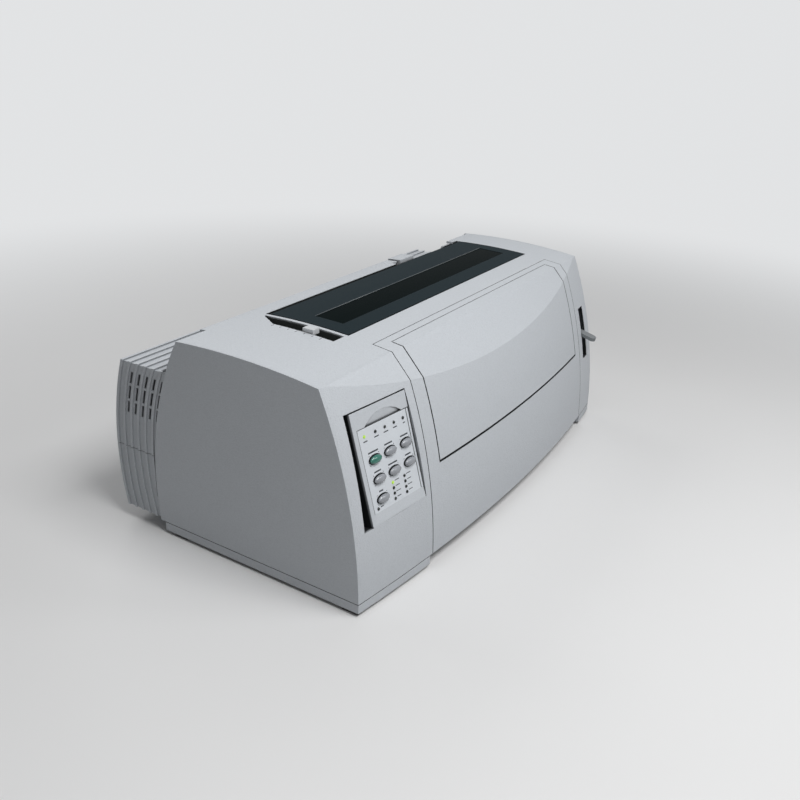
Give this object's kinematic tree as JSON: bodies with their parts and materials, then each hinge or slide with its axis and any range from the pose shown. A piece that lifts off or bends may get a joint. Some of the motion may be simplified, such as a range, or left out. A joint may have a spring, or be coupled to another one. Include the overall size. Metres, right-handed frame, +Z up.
{
  "type": "dot matrix printer",
  "caption": "Wide-carriage dot matrix printer: pearl white case with tilting front cover and drop door, smoked ribbon cover, operator panel, platen, tractors and a moving print head.",
  "frame": {"origin": "middle of the footprint, on the table", "axes": "+X to the printer's right as its user sees it, +Y towards its back, +Z up"},
  "size_m": [0.631, 0.3609, 0.2495],
  "materials": {
    "white_plastic": "fine spark-eroded grain, pearl white",
    "rubber_foot": "matt",
    "indicator": "clear-faced lamp",
    "board": "solder mask",
    "zinc_steel": "zinc plated",
    "bright_steel": "ground",
    "black_plastic": "fine grain",
    "motor_black": "satin",
    "belt_rubber": "matt",
    "brass": "turned",
    "smoked_plastic": "smoked slate grey, satin",
    "window_plastic": "dark tinted, glossy",
    "green_key": "satin green",
    "grey_key": "satin grey",
    "lever_plastic": "fine grain",
    "platen_rubber": "ground matt",
    "gear_plastic": "natural acetal",
    "head_metal": "cast, dark"
  },
  "bodies": {
    "case": {"base_pan": "white_plastic", "feet": "rubber_foot", "left_side_panel": "white_plastic", "right_side_panel": "white_plastic", "top_case": "white_plastic", "left_front_case": "white_plastic", "right_front_case": "white_plastic", "rear_case": "white_plastic", "operator_panel": "white_plastic", "indicator_lights": "indicator", "circuit_boards": "board", "left_frame": "zinc_steel", "right_frame": "zinc_steel", "cross_members": "zinc_steel", "guide_rods": "bright_steel", "paper_guides": "zinc_steel", "paper_chute": "black_plastic", "motors": "motor_black", "carriage_belt": "belt_rubber", "platen_bushes": "brass", "ribbon_cartridge": "black_plastic", "power_supply": "zinc_steel", "power_inlet": "black_plastic", "data_connector": "black_plastic", "frame_screws": "bright_steel"},
    "front_cover": {"front_cover": "white_plastic"},
    "front_door": {"front_door": "white_plastic"},
    "ribbon_cover": {"ribbon_cover": "smoked_plastic", "cover_window": "window_plastic"},
    "rear_cover": {"rear_cover": "white_plastic"},
    "paper_edge_guide": {"paper_edge_guide": "white_plastic"},
    "green_button": {"green_button": "green_key"},
    "top_middle_button": {"top_middle_button": "grey_key"},
    "top_right_button": {"top_right_button": "grey_key"},
    "centre_left_button": {"centre_left_button": "grey_key"},
    "centre_middle_button": {"centre_middle_button": "grey_key"},
    "centre_right_button": {"centre_right_button": "grey_key"},
    "lower_left_button": {"lower_left_button": "grey_key"},
    "thickness_lever": {"thickness_lever": "lever_plastic"},
    "feed_lever": {"feed_lever": "lever_plastic"},
    "power_switch": {"power_switch": "black_plastic"},
    "platen": {"platen_roller": "platen_rubber", "platen_shaft": "bright_steel", "platen_gear": "gear_plastic", "advance_knob": "black_plastic"},
    "pinch_rollers": {"pinch_rollers": "platen_rubber"},
    "idler_gear": {"idler_gear": "gear_plastic"},
    "feed_pinion": {"feed_pinion": "brass"},
    "tractor_shaft": {"tractor_shaft": "bright_steel"},
    "left_tractor": {"left_tractor": "black_plastic"},
    "left_tractor_lid": {"left_tractor_lid": "black_plastic"},
    "left_sprocket": {"left_sprocket": "gear_plastic"},
    "right_tractor": {"right_tractor": "black_plastic"},
    "right_tractor_lid": {"right_tractor_lid": "black_plastic"},
    "right_sprocket": {"right_sprocket": "gear_plastic"},
    "carriage": {"carriage": "black_plastic", "print_head": "head_metal"},
    "motor_pulley": {"motor_pulley": "bright_steel"},
    "idler_pulley": {"idler_pulley": "bright_steel"},
    "ribbon_knob": {"ribbon_knob": "gear_plastic"}
  },
  "joints": [
    {"name": "front_cover_tilt", "type": "hinge", "parent": "case", "child": "front_cover", "pos_m": [0.022, -0.1545, 0.028], "axis": [1, 0, 0], "range_deg": [0, 35]},
    {"name": "front_door_swing", "type": "hinge", "parent": "front_cover", "child": "front_door", "pos_m": [0.022, -0.1545, 0.085], "axis": [1, 0, 0], "range_deg": [0, 85]},
    {"name": "ribbon_cover_swing", "type": "hinge", "parent": "case", "child": "ribbon_cover", "pos_m": [0.022, 0.0465, 0.2375], "axis": [-1, 0, 0], "range_deg": [0, 85]},
    {"name": "rear_cover_swing", "type": "hinge", "parent": "case", "child": "rear_cover", "pos_m": [-0.008, 0.0955, 0.202], "axis": [1, 0, 0], "range_deg": [0, 75]},
    {"name": "paper_edge_guide_slide", "type": "slide", "parent": "case", "child": "paper_edge_guide", "axis": [1, 0, 0], "range_m": [0, 0.1]},
    {"name": "green_button_press", "type": "slide", "parent": "case", "child": "green_button", "axis": [0.1081, 0.9638, -0.2436], "range_m": [0, 0.0012], "stiffness_N_per_m": 600, "springref_m": -0.0012},
    {"name": "top_middle_button_press", "type": "slide", "parent": "case", "child": "top_middle_button", "axis": [0.1081, 0.9638, -0.2436], "range_m": [0, 0.0012], "stiffness_N_per_m": 600, "springref_m": -0.0012},
    {"name": "top_right_button_press", "type": "slide", "parent": "case", "child": "top_right_button", "axis": [0.1081, 0.9638, -0.2436], "range_m": [0, 0.0012], "stiffness_N_per_m": 600, "springref_m": -0.0012},
    {"name": "centre_left_button_press", "type": "slide", "parent": "case", "child": "centre_left_button", "axis": [0.1081, 0.9638, -0.2436], "range_m": [0, 0.0012], "stiffness_N_per_m": 600, "springref_m": -0.0012},
    {"name": "centre_middle_button_press", "type": "slide", "parent": "case", "child": "centre_middle_button", "axis": [0.1081, 0.9638, -0.2436], "range_m": [0, 0.0012], "stiffness_N_per_m": 600, "springref_m": -0.0012},
    {"name": "centre_right_button_press", "type": "slide", "parent": "case", "child": "centre_right_button", "axis": [0.1081, 0.9638, -0.2436], "range_m": [0, 0.0012], "stiffness_N_per_m": 600, "springref_m": -0.0012},
    {"name": "lower_left_button_press", "type": "slide", "parent": "case", "child": "lower_left_button", "axis": [0.1081, 0.9638, -0.2436], "range_m": [0, 0.0012], "stiffness_N_per_m": 600, "springref_m": -0.0012},
    {"name": "thickness_lever_swing", "type": "hinge", "parent": "case", "child": "thickness_lever", "pos_m": [-0.209, -0.0085, 0.12], "axis": [1, 0, 0], "range_deg": [-18.5, 9.4]},
    {"name": "feed_lever_swing", "type": "hinge", "parent": "case", "child": "feed_lever", "pos_m": [0.264, -0.0925, 0.15], "axis": [1, 0, 0], "range_deg": [-25, 8]},
    {"name": "power_switch_rock", "type": "hinge", "parent": "case", "child": "power_switch", "pos_m": [0.294, 0.0565, 0.059], "axis": [0, -1, 0], "range_deg": [0, 14]},
    {"name": "platen_spin", "type": "hinge", "parent": "case", "child": "platen", "pos_m": [-0.008, 0.0215, 0.172], "axis": [1, 0, 0], "continuous": true},
    {"name": "pinch_spin", "type": "hinge", "parent": "case", "child": "pinch_rollers", "pos_m": [-0.008, 0.0215, 0.1456], "axis": [1, 0, 0], "continuous": true},
    {"name": "idler_spin", "type": "hinge", "parent": "case", "child": "idler_gear", "pos_m": [0.263, 0.07161, 0.15475], "axis": [1, 0, 0], "continuous": true},
    {"name": "pinion_spin", "type": "hinge", "parent": "case", "child": "feed_pinion", "pos_m": [0.263, 0.07839, 0.11634], "axis": [1, 0, 0], "continuous": true},
    {"name": "tractor_shaft_spin", "type": "hinge", "parent": "case", "child": "tractor_shaft", "pos_m": [-0.008, 0.1175, 0.158], "axis": [1, 0, 0], "continuous": true},
    {"name": "left_tractor_slide", "type": "slide", "parent": "case", "child": "left_tractor", "axis": [1, 0, 0], "range_m": [-0.005, 0.06]},
    {"name": "left_tractor_lid_swing", "type": "hinge", "parent": "left_tractor", "child": "left_tractor_lid", "pos_m": [-0.184, 0.1335, 0.173], "axis": [0, -1, 0], "range_deg": [0, 90]},
    {"name": "left_sprocket_spin", "type": "hinge", "parent": "left_tractor", "child": "left_sprocket", "pos_m": [-0.167, 0.1175, 0.158], "axis": [1, 0, 0], "continuous": true},
    {"name": "right_tractor_slide", "type": "slide", "parent": "case", "child": "right_tractor", "axis": [1, 0, 0], "range_m": [-0.23, 0.015]},
    {"name": "right_tractor_lid_swing", "type": "hinge", "parent": "right_tractor", "child": "right_tractor_lid", "pos_m": [0.193, 0.1335, 0.173], "axis": [0, 1, 0], "range_deg": [0, 90]},
    {"name": "right_sprocket_spin", "type": "hinge", "parent": "right_tractor", "child": "right_sprocket", "pos_m": [0.176, 0.1175, 0.158], "axis": [1, 0, 0], "continuous": true},
    {"name": "carriage_travel", "type": "slide", "parent": "case", "child": "carriage", "axis": [1, 0, 0], "range_m": [-0.088, 0.268]},
    {"name": "motor_pulley_spin", "type": "hinge", "parent": "case", "child": "motor_pulley", "pos_m": [-0.198, -0.0505, 0.143], "axis": [0, 0, 1], "range_deg": [-2200, 750]},
    {"name": "idler_pulley_spin", "type": "hinge", "parent": "case", "child": "idler_pulley", "pos_m": [0.238, -0.0505, 0.143], "axis": [0, 0, 1], "range_deg": [-2200, 750]},
    {"name": "ribbon_knob_spin", "type": "hinge", "parent": "case", "child": "ribbon_knob", "pos_m": [-0.158, -0.0535, 0.216], "axis": [0, 0, 1], "continuous": true}
  ],
  "couplings": [
    {"joint": "pinch_spin", "follows": "platen_spin", "ratio": -3.3333},
    {"joint": "idler_spin", "follows": "platen_spin", "ratio": -0.70968},
    {"joint": "pinion_spin", "follows": "platen_spin", "ratio": 2.75},
    {"joint": "tractor_shaft_spin", "follows": "platen_spin", "ratio": 1.4667},
    {"joint": "left_sprocket_spin", "follows": "platen_spin", "ratio": 1.4667},
    {"joint": "right_sprocket_spin", "follows": "platen_spin", "ratio": 1.4667},
    {"joint": "motor_pulley_spin", "follows": "carriage_travel", "rad_per_m": -125},
    {"joint": "idler_pulley_spin", "follows": "carriage_travel", "rad_per_m": -125}
  ]
}
